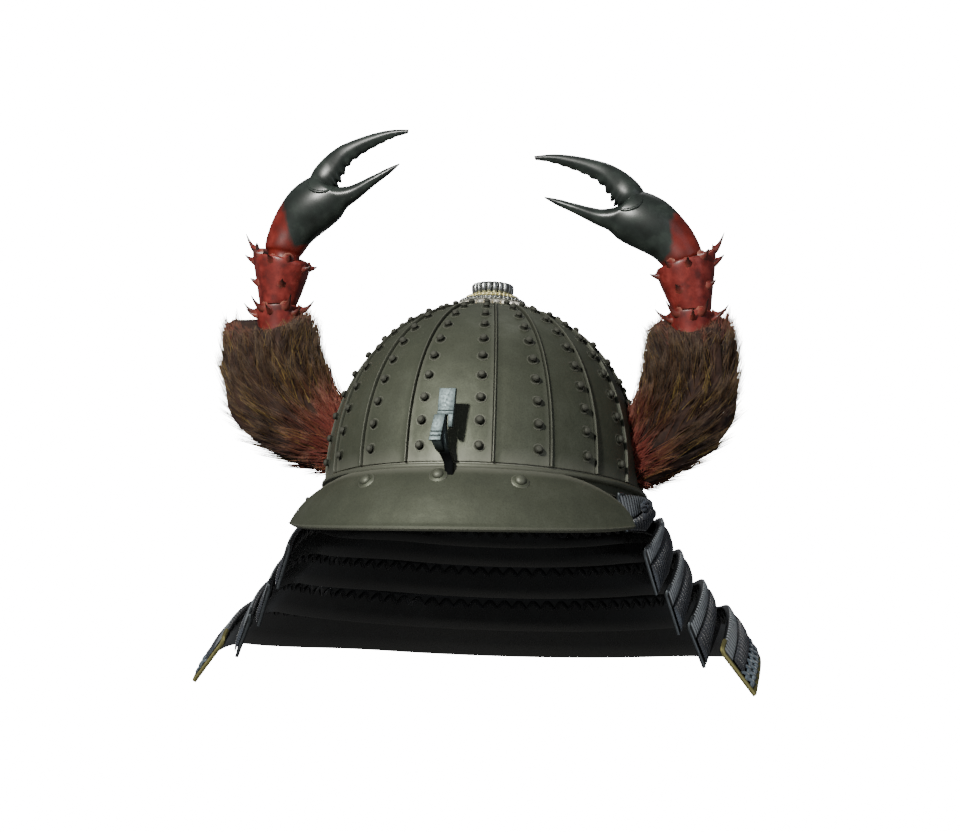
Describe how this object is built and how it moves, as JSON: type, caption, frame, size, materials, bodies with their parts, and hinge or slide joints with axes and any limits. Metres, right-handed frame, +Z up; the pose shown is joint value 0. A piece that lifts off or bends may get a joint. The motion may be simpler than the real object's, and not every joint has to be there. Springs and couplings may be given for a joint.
{
  "type": "samurai helmet",
  "caption": "Kabuto: riveted iron bowl with peak, crest holder and crown finial, laced lame neck guard, and fur-legged crab-claw side crests.",
  "frame": {"origin": "centre of the bowl's rim, on its plane, where the helmet sits on the brow band of the head inside it", "axes": "+Z up through the crown, -Y towards the front (the peak), +X towards the wearer's left"},
  "size_m": [0.3932, 0.3397, 0.3954],
  "materials": {
    "russet_iron": "dark russet-lacquered iron, satin",
    "holder_steel": "blued steel, worn bright on the edges",
    "silvered_copper": "aged silvered copper",
    "gilt_copper": "gilt copper",
    "pale_gilt": "rubbed pale gilt",
    "black_lacquer": "black lacquer over iron lames, silvered ribbed heads",
    "navy_cord": "dark blue silk braid",
    "red_lacquer": "red lacquer over carved wood, semi-gloss",
    "brown_fur": "brown bear or horse hair",
    "green_lacquer": "dark green-grey lacquer over carved wood, semi-gloss"
  },
  "bodies": {
    "root": {"bowl_plate_front": "russet_iron", "bowl_plate_left_1": "russet_iron", "bowl_plate_right_1": "russet_iron", "bowl_plate_left_2": "russet_iron", "bowl_plate_right_2": "russet_iron", "bowl_plate_left_3": "russet_iron", "bowl_plate_right_3": "russet_iron", "bowl_plate_left_4": "russet_iron", "bowl_plate_right_4": "russet_iron", "bowl_plate_left_5": "russet_iron", "bowl_plate_right_5": "russet_iron", "bowl_plate_left_6": "russet_iron", "bowl_plate_right_6": "russet_iron", "bowl_plate_left_7": "russet_iron", "bowl_plate_right_7": "russet_iron", "bowl_plate_left_8": "russet_iron", "bowl_plate_right_8": "russet_iron", "bowl_plate_back": "russet_iron", "bowl_rim_band": "russet_iron", "peak": "russet_iron", "crest_holder": "holder_steel", "crown_petal_base": "pale_gilt", "crown_collar": "silvered_copper", "crown_beaded_ring": "gilt_copper", "crown_chrysanthemum": "silvered_copper", "neck_lame_1": "black_lacquer", "lacing_row_1": "navy_cord", "neck_lame_2": "black_lacquer", "lacing_row_2": "navy_cord", "neck_lame_3": "black_lacquer", "lacing_row_3": "navy_cord", "neck_lame_4": "black_lacquer", "lacing_row_4": "navy_cord", "neck_lame_5": "black_lacquer", "lacing_row_5": "navy_cord", "lame_knot_left": "navy_cord", "crest_leg_left": "red_lacquer", "crest_fur_left": "brown_fur", "crest_carpus_left": "red_lacquer", "crest_palm_left": "green_lacquer", "crest_finger_left": "green_lacquer", "lame_knot_right": "navy_cord", "crest_leg_right": "red_lacquer", "crest_fur_right": "brown_fur", "crest_carpus_right": "red_lacquer", "crest_palm_right": "green_lacquer", "crest_finger_right": "green_lacquer"}
  },
  "joints": []
}
